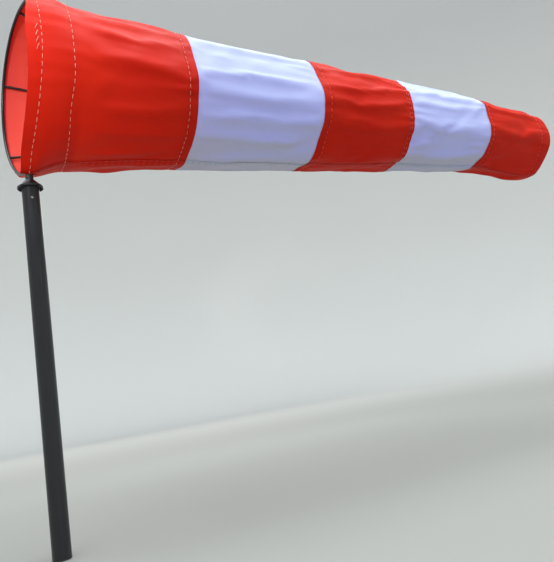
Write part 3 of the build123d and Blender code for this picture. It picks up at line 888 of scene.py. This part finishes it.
def round_line(place):
    """Stitches round the sock at one length, or along a line whose length depends on the angle."""
    line = place if callable(place) else lambda side: place + 0 * side
    count = int(2 * pi * float(cone_radius(line(0.0))) / STITCH_PITCH)
    turn = 2 * pi / count
    starts = [k * turn for k in range(count)]
    return [(line(a), a, line(a + STITCH_SHARE * turn), a + STITCH_SHARE * turn) for a in starts]


def long_line(side, x_start, x_end):
    """Stitches along the sock at one angle."""
    count = int((x_end - x_start) / STITCH_PITCH)
    starts = [x_start + k * STITCH_PITCH for k in range(count)]
    return [(x, side, x + STITCH_SHARE * STITCH_PITCH, side) for x in starts]


def keep_off_slot(spans):
    """The stitches that do not cross the spindle's slot."""
    return [s for s in spans if slot_share(s[1]) + slot_share(s[3]) < SLOT_TOUCH]


TACK_SIDES = (radians(81), radians(98.5))
TACK_COUNT = 4
TACK_X = (0.0205, 0.0145)
TACK_SHARE = 0.9
LAP_STITCH_OFFSETS = (0.004, 0.016)
LAP_CLEAR = (0.012, 0.008)  # of the lap's rows from the hem or seam before them and behind them


def bar_tack():
    """Four slanted stitches that catch the sleeve to the ring on the near side."""
    top, bottom = TACK_SIDES
    step = (bottom - top) / TACK_COUNT
    back, front = TACK_X
    return [(back, top + k * step, front, top + (k + TACK_SHARE) * step) for k in range(TACK_COUNT)]


def lap_lines(x_start, x_end):
    """The two rows along the lap seam."""
    lines = []
    for offset in LAP_STITCH_OFFSETS:
        lines += long_line(LAP_SIDE + offset / CONE_R, x_start, x_end)
    return lines


mouth_rows = keep_off_slot(round_line(mouth_stitch_x)) + round_line(sleeve_stitch_x)
mouth_stitches = add_stitches("mouth_stitches", mouth_rows + bar_tack(), pale_thread)
seam_stitches = [
    add_stitches(
        f"seam_{k + 1}_stitches",
        [stitch for seam, past in SEAM_ROWS if seam == k for stitch in round_line(SEAM_X[k] + past)],
        red_thread if k else pale_thread,
    )
    for k in range(4)
]
tail_stitches = add_stitches("tail_stitches", round_line(SOCK_END - TAIL_HEM), red_thread)
LAP_ENDS = [MOUTH_HEM_END, *SEAM_X, SOCK_END]
lap_stitches = [
    add_stitches(
        f"lap_stitches_{k + 1}",
        lap_lines(LAP_ENDS[k] + LAP_CLEAR[0], LAP_ENDS[k + 1] - LAP_CLEAR[1]),
        white_thread if k % 2 else deep_thread,
    )
    for k in range(5)
]

# ------ welds of the basket
WELD_LENGTH = 0.007
WELD_SUNK = 0.002  # into the ring
WELD_SPREAD = 0.0014
WELD_OVER = 0.0002  # over the rod at the thin end
WELD_LUMPS = 0.05


def rod_line(name):
    """A rod's two end points, and its radius."""
    centre, axes, points = main_axes(name)
    along = axes[0]
    t = (points - centre) @ along
    off = points - centre - t[:, None] * along
    return centre + along * t.min(), centre + along * t.max(), float(np.linalg.norm(off, axis=1).max())


def trumpet(base, direction, radius):
    """A weld fillet that spreads from a rod onto the ring behind it."""
    share = np.linspace(0, 1, 8)
    path = base[None, :] + direction[None, :] * (share * WELD_LENGTH - WELD_SUNK)[:, None]
    lumps = 1 + WELD_LUMPS * np.sin(share * 9 + base[2] * 400)
    return tube(path, (radius + WELD_SPREAD * (1 - share) ** 2.2 + WELD_OVER) * lumps, 16)


def add_welds():
    """Fillets at both ends of the six rods."""
    fillets = []
    for name in ROD_NAMES:
        first, last, radius = rod_line(name)
        along = (last - first) / np.linalg.norm(last - first)
        fillets += [trumpet(first, along, radius), trumpet(last, -along, radius)]
    return add_mesh("basket_welds", *joined(fillets), materials["frame_paint"])


welds = add_welds()

# ------ tapes that tie the cloth to the rods
TIE_PLACE = 0.78  # largest share of the way from the front ring to the rear ring
TIE_X = 0.084  # under the turned-in hem
TIE_WIDTH = 0.012
TIE_T = 0.0009
TIE_PLAY = 0.0006
TIE_FOOT = 0.011  # the length sewn to the cloth
TIE_SPREAD = 0.0035
TIE_DEPTH = 1.6 * LAYER  # of the tape's outer face under the cloth,
TIE_DEPTH_AT_HEM = 3.4 * LAYER  # and under the hem's second layer


def softened(path, times=3):
    """A path with its corners cut smooth."""
    for _ in range(times):
        inner = np.stack([0.75 * path[:-1] + 0.25 * path[1:], 0.25 * path[:-1] + 0.75 * path[1:]], 1).reshape(-1, 3)
        path = np.concatenate([path[:1], inner, path[-1:]])
    return path


def tie_path(place, rod_r):
    """The middle line of a tape in from the cloth, round the rod at a place and out to the cloth again."""
    x = place[0]
    y, z = axis_place(x)
    side = np.arctan2(y - place[1], place[2] - z)
    out = float(np.hypot(place[1] - y, place[2] - z))
    inside = TIE_DEPTH_AT_HEM if x < MOUTH_HEM_END + TIE_WIDTH else TIE_DEPTH

    def foot(shift):
        return surface(x, side + shift / out, -inside - TIE_T / 2)

    def at(across, outward):
        turn = side + across / out
        return np.array([x, y - (out + outward) * np.sin(turn), z + (out + outward) * np.cos(turn)])

    bend = rod_r + TIE_PLAY + TIE_T / 2
    loop = [at(-bend * cos(a), -bend * sin(a)) for a in np.linspace(0, pi, 9)]
    feet = (TIE_SPREAD, TIE_SPREAD + TIE_FOOT / 2, TIE_SPREAD + TIE_FOOT)
    return softened(np.array([*(foot(-s) for s in feet[::-1]), *loop, *(foot(s) for s in feet)]))


def tape(paths):
    """A flat tape with thickness, from its middle lines across the width."""
    lines = np.array(paths)
    along = np.gradient(lines, axis=1)
    across = np.gradient(lines, axis=0)
    normal = np.cross(along, across)
    normal /= np.linalg.norm(normal, axis=2)[..., None]
    both = np.concatenate([lines + normal * TIE_T / 2, (lines - normal * TIE_T / 2)[::-1]])
    points = both.transpose(1, 0, 2)
    rows, columns = points.shape[:2]
    run = np.cumsum(np.r_[0, np.linalg.norm(np.diff(points[:, 0], axis=0), axis=1)])
    u, v = np.meshgrid(np.linspace(0, 2 * TIE_WIDTH, columns, endpoint=False), run)
    return points.reshape(-1, 3), capped_faces(rows, columns), np.stack([u, v], -1).reshape(-1, 2)


def add_ties():
    """A tape round each rod, sewn to the cloth under the hem."""
    tapes = []
    for name in ROD_NAMES:
        first, last, radius = rod_line(name)
        if first[0] > last[0]:
            first, last = last, first
        along = (last - first) / np.linalg.norm(last - first)
        middle = first + (last - first) * min(TIE_PLACE, (TIE_X - first[0]) / (last[0] - first[0]))
        shares = np.linspace(-0.5, 0.5, 4)
        tapes.append(tape([tie_path(middle + along * share * TIE_WIDTH, radius) for share in shares]))
    return add_mesh("woven_ties", *joined(tapes), materials["tie_webbing"])


ties = add_ties()

# ------ floor, backdrop and light
STUDIO_CENTRE = Vector((0.9, 0.0, 0.0))
STUDIO_RADIUS = 9.0
STUDIO_CORNER = 3.0
STUDIO_WALL = 6.5
STUDIO_TURNS = 96
FLOOR_RINGS = 12
CORNER_RINGS = 13
# The floor's colours are painted darker than the wall's, as painted shade against the stronger light on the floor.
FLOOR_PAPER_SHADED = ((0.262, 0.252, 0.240), (0.274, 0.264, 0.252))
WALL_PAPER = ((0.700, 0.685, 0.660), (0.720, 0.705, 0.680))
PAPER_CHANGE = (2.0, 8.2)  # metres from the middle over which the floor's darker painted shade gives way to the wall's paler paper
SOCK_MIDDLE = Vector((0.9, 0.0, SOCK_AXIS_Z))


def studio_material():
    """Matt paper, darker on the floor and paler towards the wall: painted shade that evens out how the light falls on
    them, so that wall and floor look alike.
    """
    material, tree, shader = new_material("studio_paper", Roughness=0.9)
    shader.inputs["Specular IOR Level"].default_value = 0.1
    place = object_place(tree)
    parts = add_node(tree, "ShaderNodeSeparateXYZ", Vector=place).outputs
    across = maths(tree, "SUBTRACT", parts[0], STUDIO_CENTRE.x)
    squares = [maths(tree, "MULTIPLY", way, way) for way in (across, parts[1])]
    far = maths(tree, "SQRT", maths(tree, "ADD", *squares))
    cloud = noise(tree, place, 0.6, 3)
    floor_colour = mix_colour(tree, cloud, *FLOOR_PAPER_SHADED)
    wall_colour = mix_colour(tree, cloud, *WALL_PAPER)
    plug(tree, shader, "Base Color", mix_colour(tree, ramp(tree, far, *PAPER_CHANGE), floor_colour, wall_colour))
    return material


def add_studio():
    """A pale floor that curves up into a wall all round."""
    turns = np.linspace(0, pi / 2, CORNER_RINGS)
    corner_r = STUDIO_RADIUS - STUDIO_CORNER + STUDIO_CORNER * np.sin(turns)
    corner_z = STUDIO_CORNER * (1 - np.cos(turns))
    radii = np.r_[np.linspace(0.02, STUDIO_RADIUS - STUDIO_CORNER, FLOOR_RINGS)[:-1], corner_r, STUDIO_RADIUS]
    heights = np.r_[np.zeros(FLOOR_RINGS - 1), corner_z, STUDIO_CORNER + STUDIO_WALL]
    around = np.linspace(0, 2 * pi, STUDIO_TURNS, endpoint=False)
    out, up = radii[:, None], heights[:, None]
    points = np.stack([out * np.cos(around), out * np.sin(around), up + 0 * around], -1) + np.array(STUDIO_CENTRE)
    faces = [tuple(f) for f in grid_faces(len(radii), len(around), closed=True)]
    faces.append(tuple(range(len(around))))
    uv = points[..., :2].reshape(-1, 2)
    floor = add_mesh("studio_floor", points.reshape(-1, 3), faces, uv, studio_material())


def hang_light(name, data, place, target, power):
    """A light turned to a point, which the camera does not see."""
    data.energy = power
    light = bpy.data.objects.new(name, data)
    light.location = place
    light.rotation_euler = (Vector(target) - Vector(place)).to_track_quat("-Z", "Y").to_euler()
    light.visible_camera = False
    bpy.context.scene.collection.objects.link(light)
    return light


def add_soft_light(name, place, size, power, colour):
    """A wide soft light turned to the middle of the sock."""
    data = bpy.data.lights.new(name, "AREA")
    data.shape = "RECTANGLE"
    data.size, data.size_y = size
    data.color = colour
    return hang_light(name, data, place, SOCK_MIDDLE, power)


def add_mouth_spot():
    """A narrow soft light into the mouth."""
    data = bpy.data.lights.new("mouth_spot", "SPOT")
    data.shadow_soft_size = 0.25
    data.spot_size = radians(15)
    data.spot_blend = 1.0
    hang_light("mouth_spot", data, place=(-1.3, -2.1, 1.0), target=RING_CENTRE, power=340)


def add_lights():
    """Cool light from above, a weak warm one from behind and a blue fill that only the cloth takes."""
    add_soft_light("overhead", (0.8, -0.9, 5.0), size=(6.0, 5.0), power=480, colour=(0.88, 1.0, 1.0))
    add_soft_light("behind", (1.2, 4.2, 3.2), size=(4.5, 2.5), power=120, colour=(1.0, 0.98, 0.95))
    fill = add_soft_light("near_fill", (0.4, -5.0, 2.0), size=(4.0, 2.5), power=175, colour=(0.06, 0.11, 1.0))
    fill.visible_glossy = False
    lit = bpy.data.collections.new("lit_by_near_fill")
    for piece in (*bands, mouth_hem, tail_hem):
        lit.objects.link(piece)
    fill.light_linking.receiver_collection = lit
    add_mouth_spot()
    world = bpy.data.worlds.new("studio_air")
    bpy.context.scene.world = world
    world.use_nodes = True
    background = world.node_tree.nodes["Background"]
    background.inputs[0].default_value = (0.84, 0.92, 1.0, 1.0)
    background.inputs[1].default_value = 1.0


add_studio()
add_lights()
bpy.context.scene.view_settings.view_transform = "Standard"

# ------ what each piece rides on, and the frame's own cloth parts hidden
for piece in (mouth_hem, mouth_stitches, welds, ties):
    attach(piece, "head")
for number, piece in enumerate(seam_stitches, start=1):
    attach(piece, f"sock_{number}")
for piece in (tail_stitches, tail_hem, bands[4], lap_stitches[4]):
    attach(piece, "sock_4")

for number, (band, fold_x) in enumerate(zip(bands[:4], FOLD_X), start=1):
    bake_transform(band)
    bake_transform(lap_stitches[number - 1])

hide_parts("band_1_red_front", "band_1_red_back")
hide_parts("band_2_white_front", "band_2_white_back")
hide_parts("band_3_red_front", "band_3_red_back")
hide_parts("band_4_white_front", "band_4_white_back")
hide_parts("band_5_red")
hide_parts("mouth_hem_band")
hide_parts("tail_hem")
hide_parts("tie_tapes")


sewn_rows = [[mouth_stitches], *([rows] for rows in seam_stitches)]
sewn_rows[4].append(tail_stitches)
